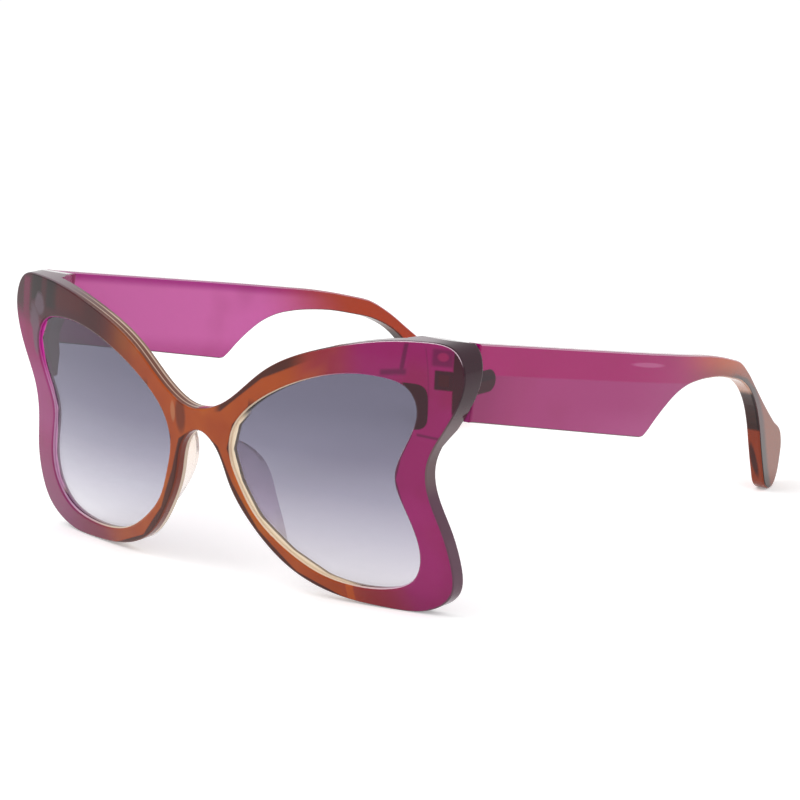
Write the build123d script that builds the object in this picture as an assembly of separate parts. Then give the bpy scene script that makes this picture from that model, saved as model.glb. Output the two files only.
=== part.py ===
from build123d import *
import math
import os

# Butterfly sunglasses, in millimetres. X runs across the face, with the wearer's left at +X.
# The front faces -Y, the temples run to +Y, and the rims and the temple tips stand on Z = 0.

# Front: overall sizes and the curve that it is bent to
front_width = 140.0
front_height = 64.2
wrap_radius = 238.0
base_radius = 145.0
base_drop = 18.3
rim_depth = 3.3
rim_edge_round = 0.6

# Lenses and the groove that holds them
lens_thickness = 1.6
lens_recess = 0.8
lens_edge_depth = 0.8
lens_clearance = 0.05

# End pieces, the deep outer corners that carry the hinges
end_piece_depth = 6.5
end_piece_inset = 1.9
end_piece_toe_width = 3.1
end_piece_slope = 5.6
end_piece_foot_drop = 15.1
end_piece_foot_run = 5.9
end_piece_foot_rise = 8.5

# Temples
temple_length = 147.6
temple_top_drop = 0.8
temple_thickness = 3.8
temple_set_in = 2.0
temple_splay = 0.02
temple_straight = 55.0
temple_bend_radius = 225.0
temple_bend_run = 63.0
temple_edge_round = 0.5
temple_gap = 0.35
droop_angle = 12.0
along_limit = 0.6

# Hinges, measured from the hinge axis
hinge_drop = 9.6
hinge_stack = 4.4
hinge_offset = 1.8
hinge_inset = 1.9
knuckle_radius = 1.5
knuckle_gap = 0.1
leaf_thickness = 1.0
leaf_inset = 2.4
front_leaf_reach = 3.8
front_leaf_lip = 0.8
temple_leaf_length = 7.0
temple_leaf_front = 1.0
leaf_clearance = 0.04

# Hinge screws
screw_radius = 0.6
screw_clearance = 0.05
screw_head_radius = 1.2
screw_head_height = 0.6
screw_slot_width = 0.35
screw_slot_depth = 0.3

# Nose pads
pad_reach = 12.0
pad_width = 2.6
pad_top_drop = 28.8
pad_height = 25.9
pad_lean = 13.0
pad_round = 0.4
pad_long_edges = 4
pad_crest_edges = 2

# Allowances
overrun = 1.0
blank_margin = 20.0
arc_steps = 5
growth_steps = 40
edge_tolerance = 0.2

half_width = front_width / 2
base_height = front_height - base_drop
hinge_height = front_height - hinge_drop
temple_top = front_height - temple_top_drop
temple_outer = half_width - temple_set_in
end_piece_foot = hinge_height - end_piece_foot_drop
pad_top = front_height - pad_top_drop
pad_bottom = pad_top - pad_height

# Outer outline of one half of the front, as shares of its half width and height, from the
# top of the bridge over the wing, down its waist and lobe, and back under the bridge
outline_shares = [
    (0.0, 0.650),
    (0.107, 0.684),
    (0.280, 0.828),
    (0.498, 0.934),
    (0.714, 0.988),
    (0.871, 1.0),
    (0.966, 0.977),
    (1.0, 0.905),
    (0.985, 0.795),
    (0.931, 0.682),
    (0.880, 0.570),
    (0.877, 0.468),
    (0.911, 0.330),
    (0.927, 0.218),
    (0.907, 0.084),
    (0.814, 0.0125),
    (0.671, 0.0),
    (0.499, 0.017),
    (0.325, 0.091),
    (0.197, 0.231),
    (0.114, 0.393),
    (0.066, 0.523),
    (0.0, 0.566),
]

# Lens opening of the same half, in the same shares, clockwise from its nasal side
opening_shares = [
    (0.136, 0.522),
    (0.166, 0.617),
    (0.236, 0.695),
    (0.357, 0.776),
    (0.486, 0.832),
    (0.614, 0.861),
    (0.729, 0.860),
    (0.811, 0.830),
    (0.843, 0.763),
    (0.823, 0.670),
    (0.784, 0.586),
    (0.763, 0.506),
    (0.783, 0.414),
    (0.814, 0.312),
    (0.819, 0.210),
    (0.779, 0.125),
    (0.693, 0.083),
    (0.579, 0.072),
    (0.443, 0.097),
    (0.321, 0.171),
    (0.217, 0.280),
    (0.160, 0.405),
]

# Side view of the temple, as shares of its length and of the height of its top, from the end of
# its straight top over the arm, round the tip, back under the arm and round the panel's corner
temple_shares = [
    (0.602, 0.716),
    (0.643, 0.697),
    (0.696, 0.667),
    (0.736, 0.640),
    (0.776, 0.609),
    (0.817, 0.547),
    (0.859, 0.463),
    (0.906, 0.369),
    (0.955, 0.279),
    (0.995, 0.209),
    (1.000, 0.163),
    (0.993, 0.100),
    (0.979, 0.038),
    (0.960, 0.005),
    (0.940, 0.000),
    (0.918, 0.025),
    (0.902, 0.103),
    (0.888, 0.203),
    (0.875, 0.304),
    (0.856, 0.391),
    (0.828, 0.463),
    (0.782, 0.528),
    (0.734, 0.564),
    (0.686, 0.593),
    (0.650, 0.607),
    (0.602, 0.618),
    (0.558, 0.616),
    (0.524, 0.599),
    (0.493, 0.569),
    (0.459, 0.526),
    (0.434, 0.490),
    (0.426, 0.482),
    (0.417, 0.482),
]
temple_root_share = 0.718


# Side view of the free edge of the nose pad, as shares of its reach and height, downwards
pad_crest_shares = [
    (0.30, 1.0),
    (0.80, 0.86),
    (1.0, 0.66),
    (0.99, 0.46),
    (0.87, 0.21),
    (0.64, 0.0),
]


def front_point(share):
    """A point of the front view, from its shares of the half width and height."""
    return (share[0] * half_width, share[1] * front_height)


def mirrored(shape):
    """The same piece for the other side of the face."""
    return mirror(shape, about=Plane.YZ)


def face_arc(depth):
    """The upright curve of the front's face, at a depth behind it, from bottom to top."""
    radius = base_radius - depth
    reach = math.asin((base_height + blank_margin) / base_radius)
    middle = Vector(0, base_radius, base_height)
    points = []
    for step in range(2 * arc_steps + 1):
        turn = reach * (step / arc_steps - 1)
        points.append(middle + Vector(0, -radius * math.cos(turn), radius * math.sin(turn)))
    low_way = (0, -math.sin(reach), math.cos(reach))
    high_way = (0, math.sin(reach), math.cos(reach))
    return Spline(*points, tangents=[low_way, high_way])


def curved_slab(front, back):
    """The space between two depths behind the front's curved face."""
    front_arc = face_arc(front)
    back_arc = face_arc(back)
    top = Line(front_arc @ 1, back_arc @ 1)
    bottom = Line(back_arc @ 0, front_arc @ 0)
    section = make_face([front_arc, top, back_arc, bottom])
    sweep = math.degrees(math.asin((half_width + blank_margin) / wrap_radius))
    hub = Axis((0, wrap_radius, 0), (0, 0, 1))
    return revolve(section, axis=hub, revolution_arc=2 * sweep).rotate(hub, -sweep)


def smooth_run(points):
    """Curves through points that meet smoothly, one curve to each pair of points."""
    places = [Vector(*point) for point in points]
    ways = [(places[1] - places[0]).normalized()]
    for before, here, after in zip(places, places[1:], places[2:]):
        past = here - before
        ahead = after - here
        way = past.normalized() * ahead.length + ahead.normalized() * past.length
        ways.append(way.normalized())
    ways.append((places[-1] - places[-2]).normalized())
    curves = []
    for index in range(len(places) - 1):
        start, end = places[index : index + 2]
        pull = (end - start).length / 3
        curves.append(Bezier(start, start + ways[index] * pull, end - ways[index + 1] * pull, end))
    return curves


def front_plane():
    """The plane of the front view, which looks along +Y."""
    return Plane(origin=(0, 0, 0), x_dir=(1, 0, 0), z_dir=(0, -1, 0))


def through(profile):
    """A front view profile as a solid that runs past the front, both ways."""
    face = front_plane() * profile
    return extrude(face, amount=2 * blank_margin, both=True)


def outline_profile():
    """The whole front's outer outline."""
    right = [front_point(share) for share in outline_shares]
    left = [(-x, z) for x, z in right[-2:0:-1]]
    return make_face([Spline(*right, *left, periodic=True)])


def opening_profile(growth=0.0):
    """One lens opening, or the same grown outwards for the groove and the lens."""
    edge = Spline(*[front_point(share) for share in opening_shares], periodic=True)
    if not growth:
        return make_face([edge])
    points = []
    for step in range(growth_steps):
        way = edge % (step / growth_steps)
        points.append((edge @ (step / growth_steps)) + growth * Vector(-way.Y, way.X))
    return make_face([Spline(*points, periodic=True)])


def face_depth(x, z):
    """How far back the curved face lies at a place in the front view."""
    radius = wrap_radius - base_radius + math.sqrt(base_radius**2 - (z - base_height) ** 2)
    return wrap_radius - math.sqrt(radius**2 - x**2)


def seat_depth():
    """How far back the temple seats lie, at the height of the hinges."""
    return face_depth(half_width, hinge_height) + end_piece_depth


def hinge_point():
    """The middle of the hinge, on its axis."""
    return (temple_outer - temple_thickness - hinge_inset, seat_depth() + hinge_offset, hinge_height)


def pin_plane():
    """The hinge's plane with Z up its axis, which stands upright like the front."""
    return Plane(origin=hinge_point(), x_dir=(1, 0, 0), z_dir=(0, 0, 1))


def seat_plane():
    """The plane with Y along the drooping temple, and its end piece seat square to that."""
    droop = math.radians(droop_angle)
    return Plane(origin=hinge_point(), x_dir=(1, 0, 0), z_dir=(0, math.sin(droop), math.cos(droop)))


def box_in(plane, x_range, y_range, z_range, grow=0.0):
    """A box between two corners in a plane, grown on all sides."""
    size = [high - low + 2 * grow for low, high in (x_range, y_range, z_range)]
    place = [low - grow for low, high in (x_range, y_range, z_range)]
    corner = Align.MIN
    return plane * Pos(*place) * Box(*size, align=(corner, corner, corner))


def knuckle(low, high, radius):
    """A round of the hinge barrel between two heights on its axis."""
    low_end = (Align.CENTER, Align.CENTER, Align.MIN)
    return pin_plane() * Pos(0, 0, low) * Cylinder(radius, high - low, align=low_end)


def behind_seat(distance=0.0):
    """All the space behind the end piece's seat, from a distance behind it."""
    size = front_width + blank_margin
    start = distance - hinge_offset
    return box_in(seat_plane(), (-size, size), (start, start + temple_length + size), (-size, size))


def front_leaf_plate(grow=0.0):
    """The plate of the front leaf, let into the end piece."""
    half = hinge_stack / 2
    drop = hinge_offset * math.sin(math.radians(droop_angle))
    return box_in(
        seat_plane(),
        (-front_leaf_reach, front_leaf_lip),
        (-hinge_offset - leaf_thickness, -hinge_offset),
        (-half - drop, half - drop),
        grow,
    )


def knuckle_split():
    """The heights on the axis between which the temple's knuckle turns."""
    third = hinge_stack / 6
    return -third, third


def temple_leaf_plate(grow=0.0):
    """The plate of the temple leaf with its neck, let into the temple, round at its back."""
    half = hinge_stack / 2
    low, high = knuckle_split()
    plate_end = temple_leaf_length - half
    plate = box_in(
        seat_plane(),
        (leaf_inset, leaf_inset + leaf_thickness),
        (-temple_leaf_front, plate_end),
        (-half, half),
        grow,
    )
    end_turn = seat_plane() * Pos(leaf_inset - grow, plate_end, 0) * Rot(0, 90, 0)
    low_end = (Align.CENTER, Align.CENTER, Align.MIN)
    end = end_turn * Cylinder(half + grow, leaf_thickness + 2 * grow, align=low_end)
    neck = box_in(
        pin_plane(),
        (0, leaf_inset + leaf_thickness / 2),
        (-temple_leaf_front, knuckle_radius),
        (low + knuckle_gap / 2, high - knuckle_gap / 2),
        grow,
    )
    return plate + end + neck


def make_front_leaf():
    """Front leaf: a plate and the two outer knuckles, bored for the screw."""
    half = hinge_stack / 2
    low, high = knuckle_split()
    leaf = front_leaf_plate()
    for start, end in ((-half, low - knuckle_gap / 2), (high + knuckle_gap / 2, half)):
        neck = box_in(pin_plane(), (-knuckle_radius, front_leaf_lip), (-blank_margin, 0), (start, end))
        leaf = leaf + (neck & behind_seat()) + knuckle(start, end, knuckle_radius)
    return leaf - knuckle(-half - overrun, half + overrun, screw_radius + screw_clearance)


def make_temple_leaf():
    """Temple leaf: a plate and the middle knuckle, bored for the screw."""
    low, high = knuckle_split()
    middle = knuckle(low + knuckle_gap / 2, high - knuckle_gap / 2, knuckle_radius)
    bore = knuckle(low - overrun, high + overrun, screw_radius + screw_clearance)
    return temple_leaf_plate() + middle - bore


def make_screw():
    """Hinge screw, with its slotted head over the upper knuckle."""
    half = hinge_stack / 2
    seat = half + screw_clearance
    top = seat + screw_head_height
    screw = knuckle(-half, top, screw_radius)
    head = knuckle(seat, top, screw_head_radius)
    slot_reach = screw_head_radius + overrun
    slot = box_in(
        pin_plane(),
        (-slot_reach, slot_reach),
        (-screw_slot_width / 2, screw_slot_width / 2),
        (top - screw_slot_depth, top + overrun),
    )
    return screw + head - slot


def temple_root():
    """The temple's top and bottom corners at its seat, as (y, z)."""
    seat = seat_depth()
    return Vector(seat, temple_top), Vector(seat, temple_root_share * temple_top)


def temple_top_way():
    """The way along the temple's straight top edge, in its side view."""
    return (Vector(*temple_point(temple_shares[0])) - temple_root()[0]).normalized()


def end_piece_space():
    """The space behind one wing that its end piece fills, down to the seat for the temple."""
    side = half_width + blank_margin
    seat = seat_depth()
    inner = half_width * max(share[0] for share in opening_shares) - end_piece_inset
    toe = inner - end_piece_toe_width
    back = seat + blank_margin
    plan = Polyline(
        (toe, -blank_margin),
        (toe, seat - end_piece_slope),
        (inner, seat),
        (inner, back),
        (side, back),
        (side, -blank_margin),
        close=True,
    )
    foot_slope = end_piece_foot_rise / end_piece_foot_run
    foot_back = end_piece_foot + foot_slope * (end_piece_foot_run + blank_margin)
    above_foot = Polyline(
        (-blank_margin, end_piece_foot),
        (seat - end_piece_foot_run, end_piece_foot),
        (back, foot_back),
        (back, front_height + foot_back),
        (-blank_margin, front_height + foot_back),
        close=True,
    )
    top = temple_root()[0]
    way = temple_top_way()
    high_front = top - way * (seat + blank_margin)
    high_back = top + way * (2 * blank_margin)
    below_top = Polyline(
        (high_front.X, -blank_margin),
        (high_back.X, -blank_margin),
        high_back,
        high_front,
        close=True,
    )
    side_view = make_face(above_foot) & make_face(below_top)
    column = extrude(make_face(plan), amount=front_height + blank_margin, dir=(0, 0, 1))
    slab = extrude(Plane.YZ * side_view, amount=side, dir=(1, 0, 0))
    return (column & slab & curved_slab(rim_depth / 2, blank_margin)) - behind_seat()


def is_on_face(point):
    """Whether a point lies on the curved face of the front."""
    depth = point.Y - face_depth(point.X, point.Z)
    return abs(depth) < edge_tolerance


def is_on_seat(point):
    """Whether a point lies in the plane of either end piece's seat."""
    local = seat_plane().to_local_coords(Vector(abs(point.X), point.Y, point.Z))
    return abs(local.Y + hinge_offset) < edge_tolerance


def make_front():
    """Front: both rims, the bridge, the grooves and the end pieces, in one moulding."""
    end_piece = end_piece_space()
    space = curved_slab(0, rim_depth) + end_piece + mirrored(end_piece)
    opening = through(opening_profile())
    front = (through(outline_profile()) & space) - opening - mirrored(opening)
    middles = [(edge, edge @ 0.5) for edge in front.edges()]
    rounded = [edge for edge, middle in middles if is_on_face(middle) or is_on_seat(middle)]
    front = fillet(rounded, rim_edge_round)
    groove_end = lens_recess + lens_thickness + 2 * lens_clearance
    groove = through(opening_profile(lens_edge_depth + lens_clearance))
    groove = groove & curved_slab(lens_recess, groove_end)
    pocket = front_leaf_plate(leaf_clearance)
    for cut in (groove, pocket):
        front = front - cut - mirrored(cut)
    return front


def make_lens():
    """Lens: bent to the front's curve, its edge in the groove."""
    start = lens_recess + lens_clearance
    blank = through(opening_profile(lens_edge_depth))
    return blank & curved_slab(start, start + lens_thickness)


def temple_point(share):
    """A point of the temple's side view, as (y, z), from its shares."""
    return (seat_depth() + share[0] * temple_length, share[1] * temple_top)


def temple_side_profile():
    """The temple seen from the side, run forward past its seat."""
    curve = [temple_point(share) for share in temple_shares]
    root_top, root_bottom = temple_root()
    lift = temple_top_way() * -blank_margin
    front_top = root_top + lift
    front_bottom = root_bottom + lift
    return make_face(
        [
            Line(front_top, curve[0]),
            *smooth_run(curve),
            Line(curve[-1], root_bottom),
            Line(root_bottom, front_bottom),
            Line(front_bottom, front_top),
        ]
    )


def temple_plan_profile():
    """The temple seen from above: straight, then bent inwards, then straight to the tip."""
    splay = math.atan(temple_splay)
    turned = splay - temple_bend_run / temple_bend_radius
    middle_turn = (splay + turned) / 2
    root = Vector(temple_outer, seat_depth())

    def heading(angle):
        return Vector(math.sin(angle), math.cos(angle))

    def aside(angle):
        return Vector(math.cos(angle), -math.sin(angle))

    bend = root + heading(splay) * temple_straight
    hub = bend - aside(splay) * temple_bend_radius
    inner_radius = temple_bend_radius - temple_thickness

    def rim(radius):
        start = hub + aside(splay) * radius
        middle = hub + aside(middle_turn) * radius
        end = hub + aside(turned) * radius
        front = start - heading(splay) * (temple_straight + blank_margin)
        back = end + heading(turned) * temple_length
        return front, start, middle, end, back

    outer = rim(temple_bend_radius)
    inner = rim(inner_radius)
    return make_face(
        [
            Line(outer[0], outer[1]),
            ThreePointArc(*outer[1:4]),
            Line(outer[3], outer[4]),
            Line(outer[4], inner[4]),
            Line(inner[4], inner[3]),
            ThreePointArc(*inner[3:0:-1]),
            Line(inner[1], inner[0]),
            Line(inner[0], outer[0]),
        ]
    )


def make_temple():
    """Temple: the side view cut from a bent band, with the pocket for its hinge leaf."""
    side = Plane.YZ * temple_side_profile()
    blank = extrude(side, amount=front_width, dir=(1, 0, 0))
    band = extrude(temple_plan_profile(), amount=front_height + blank_margin, dir=(0, 0, 1))
    temple = blank & band & behind_seat(temple_gap)
    long_edges = [edge for edge in temple.edges() if abs((edge % 0.5).X) < along_limit]
    return fillet(long_edges, temple_edge_round) - temple_leaf_plate(leaf_clearance)


def pad_point(share):
    """A point of the pad's side view, as (y, z), from its shares."""
    return (share[0] * pad_reach, pad_bottom + share[1] * (pad_top - pad_bottom))


def make_pad():
    """Nose pad: a fin along the nasal edge of the rim, highest beside the bridge."""
    strip = outline_profile() - Pos(pad_width, 0) * outline_profile()
    corner = (Align.MIN, Align.MIN)
    window = Pos(pad_width, pad_bottom) * Rectangle(half_width / 2, pad_top - pad_bottom, align=corner)
    lean = math.radians(pad_lean)
    way = (math.sin(lean), math.cos(lean), 0)
    fin = extrude(front_plane() * (strip & window), amount=blank_margin, dir=way)
    crest = Spline(*[pad_point(share) for share in pad_crest_shares])
    foot = pad_point((-1, pad_crest_shares[-1][1]))
    head = pad_point((-1, pad_crest_shares[0][1]))
    crescent = make_face([crest, Line(crest @ 1, foot), Line(foot, head), Line(head, crest @ 0)])
    side = extrude(Plane.YZ * crescent, amount=half_width, dir=(1, 0, 0))
    pad = (fin & side) - curved_slab(-blank_margin, rim_depth)
    long_edges = pad.edges().sort_by(SortBy.LENGTH)[-pad_long_edges:]
    return fillet(long_edges.sort_by(Axis.Y)[-pad_crest_edges:], pad_round)


def main():
    os.makedirs("parts", exist_ok=True)
    pairs = {
        "lens": make_lens(),
        "nose_pad": make_pad(),
        "temple": make_temple(),
        "front_hinge_leaf": make_front_leaf(),
        "temple_hinge_leaf": make_temple_leaf(),
        "hinge_screw": make_screw(),
    }
    pieces = {"front_frame": make_front()}
    for name, piece in pairs.items():
        pieces[name + "_left"] = piece
        pieces[name + "_right"] = mirrored(piece)
    front_box = pieces["front_frame"].bounding_box()
    temple_box = pieces["temple_left"].bounding_box()
    middle = (front_box.min.Y + temple_box.max.Y) / 2
    base = Vector(0, middle, min(front_box.min.Z, temple_box.min.Z))
    for name, piece in pieces.items():
        export_step(Pos(*-base) * piece, "parts/" + name + ".step")
    print("hinge axis through", Vector(*hinge_point()) - base)


if __name__ == "__main__":
    main()
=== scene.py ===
import math
from collections import namedtuple

import bpy
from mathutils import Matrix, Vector

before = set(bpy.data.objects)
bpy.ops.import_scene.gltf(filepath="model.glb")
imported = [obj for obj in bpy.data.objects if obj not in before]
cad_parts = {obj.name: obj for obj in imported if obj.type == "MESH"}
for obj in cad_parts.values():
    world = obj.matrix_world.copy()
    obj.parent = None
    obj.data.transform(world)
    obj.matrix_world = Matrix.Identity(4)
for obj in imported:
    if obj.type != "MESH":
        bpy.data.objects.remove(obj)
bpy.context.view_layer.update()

# Sizes in metres: MM is one millimetre
MM = 0.001
IMAGE_SIDE = 800
SENSOR = 36.0

# The camera: where it looks, from how far, and at what angle round and above the object
LOOK_AT = Vector((58.96, -80.11, 52.2)) * MM
DISTANCE = 693.3 * MM
AZIMUTH = math.radians(39.584)
ELEVATION = math.radians(13.338)
FOCAL_PIXELS = 3177.65
NEAREST_SEEN = 10 * MM

# The studio: what the lamps face, each lamp's place, side and watts, and the floor and sky
LAMPS_FACE = (0, 0, 30 * MM)
KEY_LAMP = ((-0.5, -0.6, 1.1), 0.9, 6.0)
FILL_LAMP = ((0.9, -0.3, 0.7), 0.8, 3.0)
WHITE = (1, 1, 1, 1)
FLOOR_SIDE = 8.0
FLOOR_PAINT = (0.9, 0.9, 0.9, 1)
FLOOR_GLOW = 0.3
SKY_LIGHT = 0.72

# From here on, places and sizes on the object are in millimetres.
# The front is bent level and upright: where it is foremost, and twice the radius of each bend
FOREMOST_Y = -82.5
FOREMOST_Z = 46.0
LEVEL_BEND = 476.0
UPRIGHT_BEND = 290.0

# Side view of the temple: its hinge, the front end of its top edge and its slope
HINGE_Y = -63.4
HINGE_Z = 54.7
TOP_Y = -65.2
TOP_Z = 63.4
TOP_SLOPE = 0.2025

# Edges of the front, as pairs of a height and how far from the middle the edge lies there
CURVE_SPAN = 80.0
NASAL_EDGE = (
    (4.8, 38.0), (6.2, 31.0), (11.0, 22.5), (18.0, 15.2),
    (26.0, 11.2), (33.5, 9.5), (39.6, 11.6), (44.6, 16.5),
)
OUTER_EDGE = (
    (8.0, 54.5), (13.5, 57.3), (20.0, 57.0), (26.6, 54.8), (32.5, 53.4),
    (37.6, 54.9), (43.0, 57.6), (49.0, 59.0), (53.3, 56.8),
)
NOSE_EDGE = ((1.1, 34.9), (5.8, 22.8), (14.8, 13.8), (25.2, 8.0), (33.6, 4.6), (36.3, 0.5))
# The front's top edge, as pairs of a distance from the middle and the height there
TOP_EDGE = ((0.0, 41.8), (7.5, 43.9), (19.6, 53.2), (34.9, 60.0), (50.0, 63.5), (61.0, 64.2))
# The inner edge of the temple's arm and tip, as pairs of a height and a place along the temple
ARM_EDGE = (
    (0.0, 71.0), (6.5, 67.9), (12.9, 65.9), (19.3, 63.9),
    (24.8, 61.1), (29.4, 57.0), (33.5, 50.2), (36.4, 42.0),
)

# Oblongs and ovals of colour, across and up, with the softness of an oblong's sides
Oblong = namedtuple("Oblong", "left right low high soft")
Oval = namedtuple("Oval", "middle height half_wide half_high")

# Seen through the near wing, in painted shade, with a painted glint on the cheek
HINGE_BLOCK = Oblong(63.3, 67.8, 54.0, 58.3, 0.25)
BLOCK_HOLLOW = Oblong(64.2, 66.6, 54.9, 57.4, 0.2)
CHEEK = Oblong(62.5, 67.4, 59.2, 63.0, 0.5)
CHEEK_GLINT = Oval(65.0, 61.3, 1.6, 1.2)
POST = Oblong(46.9, 47.9, 57.4, 63.6, 0.3)
POST_LEAN = 0.14
FOOT = Oblong(50.4, 56.6, 49.9, 51.2, 0.5)
FOOT_RISE = 0.12
RIB = Oblong(59.4, 64.8, 49.1, 49.7, 0.25)
RIB_FALL = 0.1
SEAM = Oblong(61.9, 62.2, 46.0, 63.0, 0.2)
SEAM_MIDDLE = 52.0
SEAM_BOW = 0.01
POCKET = Oval(56.6, 49.7, 5.4, 5.2)
BLOOM = Oval(57.0, 17.0, 9.0, 15.0)

# Seen through the far wing, in painted shade, and a painted grey reflection on it
FAR_BLOCK = Oblong(58.2, 62.6, 58.0, 66.0, 0.6)
FAR_POST = Oblong(51.4, 56.0, 57.0, 66.0, 0.9)
FAR_BROW = Oblong(40.0, 52.0, 57.5, 63.0, 2.0)
FAR_STRIP = Oblong(63.6, 66.4, 53.0, 63.0, 0.6)
SHEEN = Oval(60.4, 57.4, 2.6, 3.4)
SHEEN_TRAIL = Oval(51.8, 51.0, 2.6, 7.5)
TRAIL_LEAN = 0.2

# The bridge, the clear layers along the top wall, and the painted highlight on the rounded edge
BRIDGE_DIP = Oval(-5.2, 39.5, 2.0, 5.5)
BRIDGE_RIDGE = Oval(-7.6, 40.0, 0.9, 3.0)
FRONT_LAYER = Oblong(0.9, 1.2, 0.0, 70.0, 0.1)
BACK_LAYER = Oblong(2.3, 2.7, 0.0, 70.0, 0.1)
LIP_HIGHLIGHT_FACING = Oblong(-0.8, -0.66, 0.25, 1.0, 0.05)

# The temple: a painted highlight streak below its top edge, a warm spot in its tip, and a painted
# highlight on its rounded top edge
TEMPLE_HIGHLIGHT_STREAK = Oval(-0.5, 2.7, 8.0, 0.7)
TIP_EMBER = Oval(45.0, 9.0, 1.2, 6.0)
EMBER_LEAN = 0.15
TOP_HIGHLIGHT_FACING = Oblong(0.35, 0.75, 0.0, 70.0, 0.12)

# The plastic: how it bends light, its gloss, and how much of the light goes through it
PLASTIC_IOR = 1.49
PAD_IOR = 1.15
GLOSS = 0.3
FRAME_CLEARNESS = 0.15
PAD_CLEARNESS = 0.8

# What the gloss adds to a colour, and how much of the colour's own light is left
GLOSS_SHARE = 0.035
LIGHT_SHARE = 0.92


def hexed(code):
    """A colour as it shows on a screen, as the linear values that nodes take."""
    parts = [int(code[i:i + 2], 16) / 255 for i in (0, 2, 4)]
    linear = [p / 12.92 if p <= 0.04045 else ((p + 0.055) / 1.055) ** 2.4 for p in parts]
    return (*linear, 1.0)


def under_gloss(code):
    """A colour as it shows on the glossy object, less the white that the gloss adds to it."""
    shown = hexed(code)[:3]
    return (*[max(0.0, (c - GLOSS_SHARE) / LIGHT_SHARE) for c in shown], 1.0)


# Colours of the front's face
BRIDGE_ORANGE = under_gloss("AE570A")
WING_MAGENTA = under_gloss("963768")
HALFWAY_RED = under_gloss("8B3540")
BRIDGE_GLOW = under_gloss("C0701C")
BRIDGE_BROWN = under_gloss("8C3E10")
WING_RED = under_gloss("84303F")
EDGE_BROWN = under_gloss("45291E")
# Painted highlight along the lower edge of the near lens opening
HIGHLIGHT_ORANGE = under_gloss("C8642A")
SILL_PLUM = under_gloss("5A2848")
BLOOM_PINK = under_gloss("AA3E7C")
SHADE_PLUM = under_gloss("683050")
SHADE_BROWN = under_gloss("3E2D2F")
GLINT_PINK = under_gloss("B04068")
# Painted shade for the hollow in the hinge block
HOLLOW_SHADE_BROWN = under_gloss("553036")
# Painted shade on the turned-away far wing: the next three colours
FAR_SHADE_MAROON = under_gloss("481A24")
FAR_SHADE_BLACK = under_gloss("321218")
FAR_BROW_SHADE = under_gloss("601C30")
STRIP_PLUM = under_gloss("7A2450")
# Painted reflection on the far wing
SHEEN_GREY = under_gloss("6E5C68")
LOBE_MAUVE = under_gloss("7C4262")
WAIST_PINK = under_gloss("AE5E92")
DIP_BROWN = under_gloss("5F3A2A")
RIDGE_TAN = under_gloss("C08A68")

# Colours of the front's walls
WALL_BLACK = under_gloss("30242A")
WALL_TOP_BLACK = under_gloss("34282C")
WALL_GREY = under_gloss("6A5F5E")
WALL_VIOLET = under_gloss("604E58")
NOSE_BROWN = under_gloss("7A3E1A")
NOSE_CREAM = under_gloss("EBDCC6")
BROW_BROWN = under_gloss("6C524A")
BROW_GREY = under_gloss("7C7076")
LAYER_CREAM = under_gloss("E6C8B4")
CREAM = under_gloss("EFDCC2")
LILAC = under_gloss("D4A4C8")
FUCHSIA = under_gloss("C84AA0")
# Painted highlight on the near wing's rounded top edge
LIP_HIGHLIGHT_PINK = under_gloss("F6DCEA")

# Colours of the temples, outside, inside, along the arm and on their edges
BAND_MAGENTA = under_gloss("A8306F")
LOWER_MAGENTA = under_gloss("A8487C")
DULL_MAGENTA = under_gloss("913C66")
FOOT_PINK = under_gloss("B65E90")
# Painted highlight streak below the temple's top edge
HIGHLIGHT_STREAK_PINK = under_gloss("C878A4")
INSIDE_MAGENTA = under_gloss("B0388A")
INSIDE_PINK = under_gloss("D66CB0")
INSIDE_FOOT = under_gloss("B84A8C")
ARM_BROWN = under_gloss("8C4622")
TIP_BROWN = under_gloss("8E4C2F")
ARM_ORANGE = under_gloss("C05A18")
INSIDE_ORANGE = under_gloss("B24A04")
# Painted shade on the bevel of the arm and tip
BEVEL_SHADE_BLACK = under_gloss("302C2A")
CLOUD_PLUM = under_gloss("8C3A50")
LEAF_GREY = under_gloss("422A2C")
LEAF_RED = under_gloss("28060E")
# Painted shade under the temple
UNDERSIDE_SHADE_BROWN = under_gloss("50383C")
# Painted shade on the far temple's front end
FAR_END_SHADE_BROWN = under_gloss("5A3A2C")
NEAR_END_PEACH = under_gloss("D9AA94")
ARM_BLACK = under_gloss("3A2C28")
EMBER_ORANGE = under_gloss("984824")
EMBER_BROWN = under_gloss("4A2418")
# Painted highlight on the temple's rounded top edge
TOP_HIGHLIGHT_PINK = under_gloss("EBC8DC")
CROWN_PLUM = under_gloss("6A4650")

# Colours of the pads, and of the steel, in painted shade low down and lighter high up on each piece
PAD_WHITE = under_gloss("FCF6F4")
PAD_CREAM = under_gloss("F8ECE0")
PAD_VIOLET = under_gloss("E2D0F2")
LEAF_STEEL_SHADE_TONES = (hexed("4B4446"), hexed("6A6264"))
SCREW_STEEL_SHADE_TONES = (hexed("8A8684"), hexed("A8A4A2"))

# The lens tint, as pairs of a share of the lens height and the colour there
LENS_HEIGHT = 58.0
LENS_TINT = (
    (0.0, hexed("E4E3E7")),
    (0.14, hexed("D5D4DB")),
    (0.3, hexed("B6B4C1")),
    (0.46, hexed("9290A1")),
    (0.62, hexed("747185")),
    (0.8, hexed("625F73")),
    (1.0, hexed("5A566A")),
)


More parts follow.
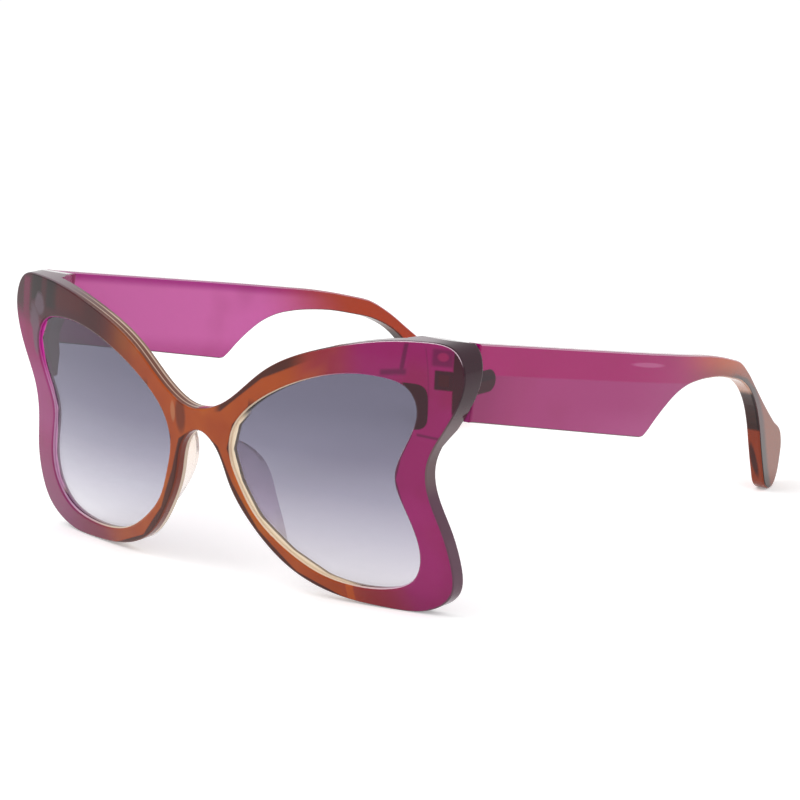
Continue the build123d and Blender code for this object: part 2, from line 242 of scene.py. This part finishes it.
class Wire:
    """A socket of a shader node, with arithmetic that adds Math nodes."""

    def __init__(self, tree, socket):
        self.tree = tree
        self.socket = socket

    def combine(self, operation, *others):
        node = self.tree.nodes.new("ShaderNodeMath")
        node.operation = operation
        for slot, value in zip(node.inputs, (self,) + others):
            if isinstance(value, Wire):
                self.tree.links.new(value.socket, slot)
            else:
                slot.default_value = value
        return Wire(self.tree, node.outputs[0])

    def __add__(self, other):
        return self.combine("ADD", other)

    def __mul__(self, other):
        return self.combine("MULTIPLY", other)

    __radd__ = __add__
    __rmul__ = __mul__

    def __sub__(self, other):
        return self.combine("SUBTRACT", other)

    def __rsub__(self, other):
        return self * -1.0 + other

    def __truediv__(self, other):
        return self.combine("DIVIDE", other)

    def __pow__(self, other):
        return self.combine("POWER", other)

    def __abs__(self):
        return self.combine("ABSOLUTE")

    def sign(self):
        return self.combine("SIGN")

    def at_least(self, other):
        return self.combine("MAXIMUM", other)

    def at_most(self, other):
        return self.combine("MINIMUM", other)


def strongest(*masks):
    """The highest of some masks at each point."""
    highest = masks[0]
    for mask in masks[1:]:
        highest = highest.at_least(mask)
    return highest


def background_rays(tree):
    """One for rays that show the background: seen plainly, in gloss or through a clear piece."""
    path = tree.nodes.new("ShaderNodeLightPath")
    kinds = ("Is Camera Ray", "Is Glossy Ray", "Is Transmission Ray")
    return strongest(*[Wire(tree, path.outputs[kind]) for kind in kinds])


class Finish:
    """One procedural material and the nodes in it."""

    def __init__(self, name):
        self.material = bpy.data.materials.new(name)
        self.material.use_nodes = True
        self.tree = self.material.node_tree
        self.tree.nodes.clear()

    def node(self, kind, settings=None, output=0, **values):
        """A node of a type, its settings first, then the values or links of its sockets."""
        node = self.tree.nodes.new("ShaderNode" + kind)
        for key, value in (settings or {}).items():
            if key == "stops":
                self.set_stops(node.color_ramp, value)
            else:
                setattr(node, key, value)
        for key, value in values.items():
            slot = self.slot(node, key)
            if isinstance(value, Wire):
                self.tree.links.new(value.socket, slot)
            else:
                slot.default_value = value
        return Wire(self.tree, node.outputs[output])

    def slot(self, node, key):
        """A socket by its name, with underscores for spaces, or by its number after one."""
        if key[0] == "_":
            return node.inputs[int(key[1:])]
        return node.inputs[key.replace("_", " ")]

    def set_stops(self, ramp, stops):
        while len(ramp.elements) > 1:
            ramp.elements.remove(ramp.elements[-1])
        for index, (place, colour) in enumerate(stops):
            element = ramp.elements[0] if index == 0 else ramp.elements.new(place)
            element.position = place
            element.color = colour

    def split(self, vector):
        """The three numbers of a vector."""
        apart = self.node("SeparateXYZ", Vector=vector)
        return [Wire(self.tree, out) for out in apart.socket.node.outputs]

    def place(self):
        """The point's own place on the object, as x, y and z in millimetres."""
        return [part * (1 / MM) for part in self.split(self.node("TexCoord", output="Object"))]

    def facing(self):
        """The surface's own direction, as x, y and z shares."""
        own = {"vector_type": "NORMAL", "convert_from": "WORLD", "convert_to": "OBJECT"}
        normal = self.node("NewGeometry", output="Normal")
        return self.split(self.node("VectorTransform", own, Vector=normal))

    def step(self, value, low, high):
        """Nought at one value and one at another, smooth between them, in either direction."""
        return self.node(
            "MapRange",
            {"interpolation_type": "SMOOTHSTEP"},
            Value=value, From_Min=low, From_Max=high, To_Min=0.0, To_Max=1.0,
        )

    def patch(self, across, up, oblong):
        """One inside an oblong, nought outside it, with soft sides."""
        left, right, low, high, soft = oblong
        from_left = self.step(across, left - soft, left + soft)
        from_right = self.step(across, right + soft, right - soft)
        from_low = self.step(up, low - soft, low + soft)
        return from_left * from_right * from_low * self.step(up, high + soft, high - soft)

    def spot(self, across, up, oval):
        """One in the middle of an oval, fading to nought at its rim."""
        left = (across - oval.middle) / oval.half_wide
        low = (up - oval.height) / oval.half_high
        return self.step(left * left + low * low, 1.0, 0.25)

    def curve(self, value, places):
        """A smooth curve of one size against another, through places on it."""
        stops = [(a / CURVE_SPAN, (b / CURVE_SPAN,) * 3 + (1.0,)) for a, b in places]
        return self.node("ValToRGB", {"stops": stops}, Fac=value / CURVE_SPAN) * CURVE_SPAN

    def cloud(self, size):
        """Soft clouds in the plastic, from nought to one, of a size."""
        spot = self.node("TexCoord", output="Object")
        return self.node("TexNoise", Vector=spot, Scale=1 / (size * MM), Detail=2.0)

    def moulded_surface(self):
        """The faint unevenness of a polished moulding, as a normal."""
        spot = self.node("TexCoord", output="Object")
        waves = self.node("TexNoise", Vector=spot, Scale=90.0, Detail=1.0)
        return self.node("Bump", Strength=0.04, Distance=0.6 * MM, Height=waves)

    def blend(self, share, first, second):
        """A colour between two others."""
        return self.node("Mix", {"data_type": "RGBA"}, output=2, _0=share, _6=first, _7=second)

    def lay(self, colour, where, strength=1.0):
        """Lays a colour over what is there, by a mask and a strength."""
        self.colour = self.blend(where * strength, self.colour, colour)

    def shade(self, colour, **values):
        """The surface shader, with what is the same all over it set on its own sockets."""
        return self.close(self.node("BsdfPrincipled", Base_Color=colour, **values))

    def close(self, shader):
        """Links a shader to the material's output."""
        out = self.tree.nodes.new("ShaderNodeOutputMaterial")
        self.tree.links.new(shader.socket, out.inputs["Surface"])
        return self.material


class FrontPlastic(Finish):
    """Front plastic: orange brown at the bridge, fading to magenta at the wings."""

    def __init__(self):
        super().__init__("front plastic")
        self.x, y, self.z = self.place()
        nx, self.ny, self.nz = self.facing()
        self.out = abs(self.x)
        hand = self.x.sign()
        self.out_facing = nx * hand
        self.far = hand.at_most(0.0) * -1.0
        self.near = hand.at_least(0.0)
        rise = self.z - FOREMOST_Z
        bends = self.x * self.x / LEVEL_BEND + rise * rise / UPRIGHT_BEND
        self.depth = y - FOREMOST_Y - bends
        self.face = self.step(self.ny, -0.55, -0.8)
        self.mottle = self.cloud(12.0)

        # The fade starts farther out near the bottom
        fade_middle = self.z * (-9.0 / 55.0) + 43.0
        self.wing = self.step(self.out - fade_middle, -9.0, 14.0)
        self.colour = self.blend(self.wing, BRIDGE_ORANGE, WING_MAGENTA)

    def clouds(self):
        """Duller halfway along the fade, with brighter and deeper clouds in it."""
        halfway = self.wing * (1 - self.wing) * 4.0
        self.lay(HALFWAY_RED, halfway, strength=0.6)
        glow = self.step(self.mottle, 0.5, 0.3) * (1 - self.wing)
        self.lay(BRIDGE_GLOW, glow, strength=0.4)
        deeper = self.blend(self.wing, BRIDGE_BROWN, WING_RED)
        self.lay(deeper, self.step(self.mottle, 0.42, 0.75), strength=0.35)

    def edges(self):
        """Darker edges, where the walls show through the face."""
        out, z = self.out, self.z
        here = self.near * self.face
        nose_gap = out - self.curve(z, NOSE_EDGE)
        nose_band = self.step(nose_gap, 1.9, 1.3) * self.step(z, 37.0, 34.0)
        top_gap = self.curve(out, TOP_EDGE) - z
        brow_ends = self.step(out, 34.0, 26.0) * self.step(out, 5.0, 8.0)
        brow_band = self.step(top_gap, 2.0, 1.4) * brow_ends * self.near

        lens_gap = self.curve(z, NASAL_EDGE) - out
        on_rim = self.step(lens_gap, -1.5, -0.8)
        ring_ends = self.step(z, 30.0, 34.0) * self.step(z, 47.0, 44.0)
        ring = self.step(lens_gap, 0.9, 0.5) * on_rim * ring_ends
        self.lay(EDGE_BROWN, strongest(nose_band, brow_band, ring) * self.face, strength=0.88)
        # Painted highlight: a bright orange line along the lower nasal edge of the near lens
        # opening
        edge_highlight = self.step(lens_gap, 1.0, 0.6) * on_rim * self.step(z, 31.0, 28.0)
        self.lay(HIGHLIGHT_ORANGE, edge_highlight * here, strength=0.6)

        outer_gap = out - self.curve(z, OUTER_EDGE)
        sill_ends = self.step(z, 46.0, 44.0) * self.step(z, 8.0, 12.0)
        sill = self.step(outer_gap, 0.8, 0.5) * self.step(outer_gap, -1.5, -0.8) * sill_ends
        self.lay(SILL_PLUM, sill * here, strength=0.8)
        self.lay(BLOOM_PINK, self.spot(out, z, BLOOM) * self.face, strength=0.4)

    def near_wing(self):
        """Seen through the near wing, in painted shade: the end piece, its hinge block and the
        pocket behind, with a painted glint on the cheek.
        """
        out, z = self.out, self.z
        here = self.near * self.face
        post = self.patch(out - z * POST_LEAN, z, POST)
        foot = self.patch(out, z - out * FOOT_RISE, FOOT)
        rib = self.patch(out, z + out * RIB_FALL, RIB)
        bow = (z - SEAM_MIDDLE) * (z - SEAM_MIDDLE) * SEAM_BOW
        seam = self.patch(out + bow, z, SEAM)
        cheek = self.patch(out, z, CHEEK)
        plum = strongest(post * 0.85, foot * 0.85, cheek * 0.75, rib * 0.8, seam * 0.4)
        self.lay(SHADE_PLUM, plum * here)
        # Painted highlight: a pink glint on the cheek
        self.lay(GLINT_PINK, self.spot(out, z, CHEEK_GLINT) * here, strength=0.5)

        block = self.patch(out, z, HINGE_BLOCK)
        across = ((out - POCKET.middle) / POCKET.half_wide) ** 4
        up = ((z - POCKET.height) / POCKET.half_high) ** 4
        pocket_side = self.step(out + z * 0.25, 69.0, 70.0)
        pocket = self.step(across + up, 1.1, 0.9) * pocket_side
        end_height = self.step(z, 47.5, 49.5) * self.step(z, 63.2, 62.4)
        end_edge = self.step(out, 67.2, 67.7) * end_height
        brown = strongest(block * 0.9, pocket * 0.92, end_edge * 0.9)
        self.lay(SHADE_BROWN, brown * here)
        # Painted shade in the hollow of the hinge block
        self.lay(HOLLOW_SHADE_BROWN, self.patch(out, z, BLOCK_HOLLOW) * here, strength=0.5)

    def far_wing(self):
        """The far wing is turned away, so painted shade makes its face deeper and darker, with a
        painted grey reflection on it.
        """
        out, z = self.out, self.z
        here = self.far * self.face
        # Painted shade: the far wing's face deeper and darker, with darker bars and brow
        turned_away_shade = self.step(out, 12.0, 37.0) * self.step(z - out * 0.16, 40.0, 46.0)
        self.lay(FAR_SHADE_MAROON, turned_away_shade * here, strength=0.92)
        bars = strongest(self.patch(out, z, FAR_BLOCK), self.patch(out, z, FAR_POST))
        self.lay(FAR_SHADE_BLACK, bars * here, strength=0.75)
        self.lay(FAR_BROW_SHADE, self.patch(out, z, FAR_BROW) * here, strength=0.6)
        self.lay(STRIP_PLUM, self.patch(out, z, FAR_STRIP) * here, strength=0.8)
        # Painted reflection: a ragged grey sheen high on the far wing, trailing down
        ragged = out + self.cloud(4.0) * 3.0
        trail = self.spot(ragged - z * TRAIL_LEAN, z, SHEEN_TRAIL)
        sheen = strongest(self.spot(ragged, z, SHEEN), trail)
        self.lay(SHEEN_GREY, sheen * here, strength=0.8)
        lobe = self.step(z, 30.0, 6.0) * self.step(out, 30.0, 46.0)
        self.lay(LOBE_MAUVE, lobe * here, strength=0.45)
        waist_height = self.step(z, 22.0, 30.0) * self.step(z, 46.0, 38.0)
        self.lay(WAIST_PINK, waist_height * self.step(out, 46.0, 54.0) * here, strength=0.4)

    def bridge(self):
        """The bridge: darker beside the far rim, with a bright rib."""
        self.lay(DIP_BROWN, self.spot(self.x, self.z, BRIDGE_DIP) * self.face, strength=0.7)
        self.lay(RIDGE_TAN, self.spot(self.x, self.z, BRIDGE_RIDGE) * self.face, strength=0.5)

    def outside_tone(self):
        """The outside walls: dark, with a clear back layer towards the nose and along the top."""
        out, z = self.out, self.z
        tone = self.blend(self.step(z, 57.8, 57.4), WALL_BLACK, WALL_TOP_BLACK)
        tone = self.blend(self.step(z, 52.0, 43.0), tone, WALL_GREY)
        tone = self.blend(self.step(z, 34.0, 28.0), tone, WALL_VIOLET)
        nose = self.blend(self.step(self.depth, 2.1, 2.4), NOSE_BROWN, NOSE_CREAM)
        tone = self.blend(self.step(self.wing, 0.5, 0.1), tone, nose)

        top = self.blend(self.step(out, 34.0, 56.0), BROW_BROWN, BROW_GREY)
        layers = [self.patch(self.depth, z, layer) for layer in (FRONT_LAYER, BACK_LAYER)]
        layered = strongest(*layers) * self.step(out, 50.0, 30.0)
        top = self.blend(layered * 0.8, top, LAYER_CREAM)
        top_reach = self.far.at_least(self.step(out, 40.0, 46.0)) * self.step(out, 66.0, 60.0)
        on_top = self.step(self.nz, 0.3, 0.75) * top_reach
        return self.blend(on_top * 0.85, tone, top)

    def walls(self):
        """The walls round the outside, and round the lens openings."""
        out, z = self.out, self.z
        wall = self.step(abs(self.ny), 0.85, 0.6)
        away = (out - 34.0) * self.out_facing + (z - 30.0) * self.nz
        outside = self.step(away, -2.0, 2.0).at_least(self.step(out, 10.0, 8.0)) * wall
        self.lay(self.outside_tone(), outside, strength=0.9)
        in_rim = self.step(self.depth, 4.2, 3.6) * self.step(out, 8.0, 10.0)
        lilac = self.blend(self.step(z, 34.0, 46.0), LILAC, FUCHSIA)
        opening = self.blend(self.wing, CREAM, lilac)
        self.lay(opening, self.step(away, 2.0, -2.0) * wall * in_rim, strength=0.9)

    def lip_highlight(self):
        """A painted highlight: the bright line that the rounded edge shows along the top of the
        near wing.
        """
        highlight_line = self.patch(self.ny, self.nz, LIP_HIGHLIGHT_FACING) * self.step(self.out, 38.0, 46.0)
        self.lay(LIP_HIGHLIGHT_PINK, highlight_line * self.near, strength=0.85)

    def finished(self):
        self.clouds()
        self.edges()
        self.near_wing()
        self.far_wing()
        self.bridge()
        self.walls()
        self.lip_highlight()
        return self.shade(
            self.colour,
            Normal=self.moulded_surface(),
            Roughness=self.step(self.mottle, 0.2, 0.8) * 0.05 + 0.06,
            IOR=PLASTIC_IOR,
            Specular_IOR_Level=GLOSS,
            Transmission_Weight=FRAME_CLEARNESS,
        )


class TemplePlastic(Finish):
    """Temple plastic: magenta at the front, fading to orange brown towards the tip."""

    def __init__(self):
        super().__init__("temple plastic")
        self.x, self.y, self.z = self.place()
        nx, self.ny, self.nz = self.facing()
        self.drop = (self.y - TOP_Y) * -TOP_SLOPE - self.z + TOP_Z
        self.mottle = self.cloud(18.0)
        self.inside = self.step(nx * self.x.sign(), 0.2, -0.2)
        self.arm = self.step(self.y + self.z * 0.35, 24.0, 56.0)
        self.colour = self.blend(self.arm, self.wide_part(), self.arm_and_tip())

    def wide_part(self):
        """The wide front part, with a deeper band along its top, paler towards its foot."""
        y, drop = self.y, self.drop
        below_band = self.step(drop, 6.6, 7.2)
        outside = self.blend(below_band, BAND_MAGENTA, LOWER_MAGENTA)
        dull = self.step(y - self.z * 0.4, -66.0, -84.0) * below_band
        outside = self.blend(dull * 0.8, outside, DULL_MAGENTA)
        foot = self.step(drop, 12.0, 19.0) * self.step(y, -40.0, -5.0)
        outside = self.blend(foot * 0.5, outside, FOOT_PINK)
        # Painted highlight: a pale streak below the top edge
        outside = self.blend(self.spot(y, drop, TEMPLE_HIGHLIGHT_STREAK) * 0.5, outside, HIGHLIGHT_STREAK_PINK)
        inside = self.blend(self.step(drop, 0.6, 3.0), INSIDE_MAGENTA, INSIDE_PINK)
        inside = self.blend(self.step(drop, 14.0, 20.0) * 0.7, inside, INSIDE_FOOT)
        return self.blend(self.inside, outside, inside)

    def arm_and_tip(self):
        """The arm and the tip, with painted shade on the bevel along their inner edge."""
        z = self.z
        outside = self.blend(self.step(z, 40.0, 24.0), ARM_BROWN, TIP_BROWN)
        outside = self.blend(self.step(self.drop, 6.0, 0.5), outside, ARM_ORANGE)
        brown = self.blend(self.inside, outside, INSIDE_ORANGE)
        from_edge = self.y - self.curve(z, ARM_EDGE)
        # Painted shade on the bevel along the inner edge
        bevel_shade = self.step(from_edge, 5.2, 2.6) * self.step(z, 37.5, 35.0) * (1 - self.inside)
        return self.blend(bevel_shade * 0.9, brown, BEVEL_SHADE_BLACK)

    def hinge_leaf(self):
        """The hinge leaf, seen through the plastic as a bar with a round end."""
        along = (self.y - (HINGE_Y + 2.9)).at_least(0.0)
        across = self.z - (HINGE_Z - 0.3)
        reach = (along * along + across * across) ** 0.5
        tone = self.blend(self.step(across, -0.2, 0.3), LEAF_GREY, LEAF_RED)
        self.lay(tone, self.step(reach, 2.75, 2.35), strength=0.92)

    def edges(self):
        """Dark along the underside in painted shade, the front end and the inner edge of the arm,
        with painted shade on the far temple's front end and a painted highlight on the rounded top
        edge.
        """
        z = self.z
        underside = self.step(self.nz, -0.3, -0.6)
        # Painted shade under the wide part
        self.lay(UNDERSIDE_SHADE_BROWN, underside * (1 - self.arm), strength=0.85)
        # Painted shade on the far temple's front end; the near one keeps its peach colour
        end = self.blend(self.step(self.x, -5.0, 5.0), FAR_END_SHADE_BROWN, NEAR_END_PEACH)
        edge = self.blend(self.step(z, 28.0, 30.0), ARM_BLACK, end)
        glow = self.spot(self.x - self.y * EMBER_LEAN, z, TIP_EMBER)
        ember = self.blend(glow, EMBER_ORANGE, EMBER_BROWN)
        edge = self.blend(self.step(z, 18.0, 17.0), edge, ember)
        forward = self.step(self.ny, -0.3, -0.6)
        self.lay(edge, forward.at_least(underside) * self.arm, strength=0.85)
        # Painted highlight on the rounded top edge
        self.lay(TOP_HIGHLIGHT_PINK, self.patch(self.nz, z, TOP_HIGHLIGHT_FACING), strength=0.5)
        self.lay(CROWN_PLUM, self.step(self.nz, 0.8, 0.9), strength=0.6)

    def finished(self):
        self.lay(CLOUD_PLUM, self.step(self.mottle, 0.5, 0.8), strength=0.2)
        self.hinge_leaf()
        self.edges()
        return self.shade(
            self.colour,
            Normal=self.moulded_surface(),
            Roughness=self.step(self.mottle, 0.2, 0.8) * 0.06 + 0.07,
            IOR=PLASTIC_IOR,
            Specular_IOR_Level=GLOSS,
            Transmission_Weight=FRAME_CLEARNESS,
        )


def pad_plastic():
    """Nose pad plastic: clear and pale cream, with some violet in the near pad."""
    finish = Finish("pad plastic")
    x, _, z = finish.place()
    colour = finish.blend(finish.step(z, 8.0, 38.0), PAD_WHITE, PAD_CREAM)
    violet = finish.step(x, -1.0, 1.0) * finish.step(z, 12.0, 20.0)
    colour = finish.blend(violet * 0.5, colour, PAD_VIOLET)
    return finish.shade(
        colour,
        Normal=finish.moulded_surface(),
        Roughness=0.05,
        IOR=PAD_IOR,
        Specular_IOR_Level=GLOSS,
        Transmission_Weight=PAD_CLEARNESS,
    )


def lens_tint():
    """Lens: a grey violet tint, dark at the top and almost clear at the bottom.

    Where the rim's walls meet it, its border is cream on the nose side of the near lens
    and lilac on the outer side of the far one.
    """
    finish = Finish("lens tint")
    x, _, z = finish.place()
    out = abs(x)
    colour = finish.node("ValToRGB", {"stops": LENS_TINT}, Fac=z / LENS_HEIGHT)
    glass = finish.node(
        "BsdfPrincipled",
        Base_Color=colour,
        Roughness=0.0,
        IOR=PLASTIC_IOR,
        Specular_IOR_Level=GLOSS,
        Transmission_Weight=1.0,
    )
    from_nose = out - finish.curve(z, NASAL_EDGE)
    cream_width = finish.step(z, 20.0, 6.0) * 1.0 + 0.75
    near_low = finish.step(x, -1.0, 1.0) * finish.step(z, 44.0, 40.0)
    cream = finish.step(from_nose - cream_width, 0.1, -0.1) * near_low
    from_outside = finish.curve(z, OUTER_EDGE) - out
    far_high = finish.step(z, 9.0, 12.0) * finish.step(x, 10.0, -10.0)
    lilac = finish.step(from_outside, 0.75, 0.55) * far_high
    lilac_tone = finish.blend(finish.step(z, 34.0, 46.0), LILAC, FUCHSIA)
    tone = finish.blend(lilac, CREAM, lilac_tone)
    border = finish.node("BsdfPrincipled", Base_Color=tone, Roughness=0.2, Specular_IOR_Level=GLOSS)
    return finish.close(finish.node("MixShader", _0=cream.at_least(lilac), _1=glass, _2=border))


def steel(name, tones, **values):
    """Steel, with painted shade making it a little darker low down on a hinge than high up."""
    finish = Finish(name)
    height = finish.place()[2]
    low, high = tones
    return finish.shade(finish.blend(finish.step(height, 50.0, 58.0), low, high), **values)


def dress(node, material):
    """Gives a carried-over node its material."""
    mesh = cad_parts[node].data
    mesh.materials.clear()
    mesh.materials.append(material)


def add_camera():
    """The camera, at the photograph's viewing angle."""
    back = Vector((
        math.sin(AZIMUTH) * math.cos(ELEVATION),
        -math.cos(AZIMUTH) * math.cos(ELEVATION),
        math.sin(ELEVATION),
    ))
    bpy.ops.object.camera_add(
        location=LOOK_AT + back * DISTANCE,
        rotation=(math.pi / 2 - ELEVATION, 0, AZIMUTH),
    )
    camera = bpy.context.object
    camera.data.sensor_width = SENSOR
    camera.data.lens = FOCAL_PIXELS / IMAGE_SIDE * SENSOR
    camera.data.clip_start = NEAREST_SEEN
    bpy.context.scene.camera = camera


def add_floor():
    """The pale floor: white to the camera, and it keeps the object's shadow."""
    bpy.ops.object.select_all(action="DESELECT")
    bpy.ops.mesh.primitive_plane_add(size=FLOOR_SIDE, location=(0, 0, 0))
    floor = bpy.context.object
    floor.name = "floor"
    finish = Finish("floor white")
    lit = finish.node("BsdfDiffuse", Color=FLOOR_PAINT)
    strength = background_rays(finish.tree) * FLOOR_GLOW
    glow = finish.node("Emission", Color=WHITE, Strength=strength)
    floor.data.materials.append(finish.close(finish.node("AddShader", _0=lit, _1=glow)))


def add_light(name, place, size, power):
    """A soft square lamp that faces the object."""
    bpy.ops.object.light_add(type="AREA", location=place)
    lamp = bpy.context.object
    lamp.name = name
    lamp.data.size = size
    lamp.data.energy = power
    towards = Vector(LAMPS_FACE) - Vector(place)
    lamp.rotation_euler = towards.to_track_quat("-Z", "Y").to_euler()


def add_world():
    """A plain surrounding light that shows as white behind the object."""
    world = bpy.data.worlds.new("studio")
    bpy.context.scene.world = world
    world.use_nodes = True
    tree = world.node_tree
    tree.nodes.clear()
    strength = background_rays(tree) * (1 - SKY_LIGHT) + SKY_LIGHT
    sky = tree.nodes.new("ShaderNodeBackground")
    sky.inputs["Color"].default_value = WHITE
    tree.links.new(strength.socket, sky.inputs["Strength"])
    out = tree.nodes.new("ShaderNodeOutputWorld")
    tree.links.new(sky.outputs["Background"], out.inputs["Surface"])


add_camera()
bpy.context.scene.view_settings.view_transform = "Standard"
add_world()
add_floor()
add_light("key", *KEY_LAMP)
add_light("fill", *FILL_LAMP)

temple = TemplePlastic().finished()
pads = pad_plastic()
lens = lens_tint()
leaf = steel("hinge steel", LEAF_STEEL_SHADE_TONES, Roughness=0.35, Metallic=0.9)
screw = steel("screw steel", SCREW_STEEL_SHADE_TONES, Roughness=0.25, Metallic=1.0)
dress("front_frame", FrontPlastic().finished())
for side in ("left", "right"):
    dress("lens_" + side, lens)
    dress("nose_pad_" + side, pads)
    dress("temple_" + side, temple)
    dress("front_hinge_leaf_" + side, leaf)
    dress("temple_hinge_leaf_" + side, leaf)
    dress("hinge_screw_" + side, screw)
